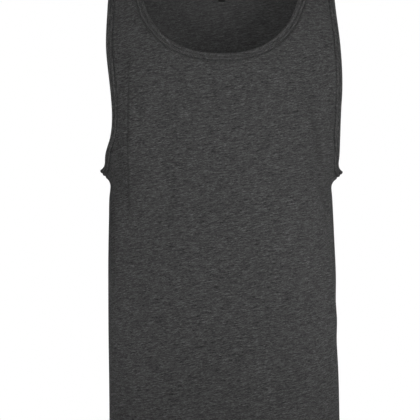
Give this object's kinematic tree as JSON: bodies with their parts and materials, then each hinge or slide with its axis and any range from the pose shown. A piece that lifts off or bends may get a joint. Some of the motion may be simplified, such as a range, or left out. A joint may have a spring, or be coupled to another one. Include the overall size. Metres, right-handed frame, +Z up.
{
  "type": "sleeveless tank top",
  "caption": "Loose sleeveless tank top in heather jersey, hollow and filled out as worn, with a deep scoop neck, long armholes and bound edges.",
  "frame": {"origin": "midway between the two shoulder seams, at the mean height of the straps, where a wearer's shoulders carry the garment", "axes": "+Z up along the body, -Y towards the front of the garment, +X to the right of someone who faces it"},
  "size_m": [0.417, 0.2628, 0.7994],
  "materials": {
    "jersey": "matt charcoal heather single jersey with short light and dark flecks along the courses",
    "binding_jersey": "the same jersey folded round the raw edge, with twin-needle stitching in thread of its colour",
    "label_satin": "plain black satin tape, bare"
  },
  "bodies": {
    "root": {"front_panel": "jersey", "back_panel": "jersey", "neck_binding": "binding_jersey", "armhole_binding_left": "binding_jersey", "armhole_binding_right": "binding_jersey", "neck_label": "label_satin"}
  },
  "joints": []
}
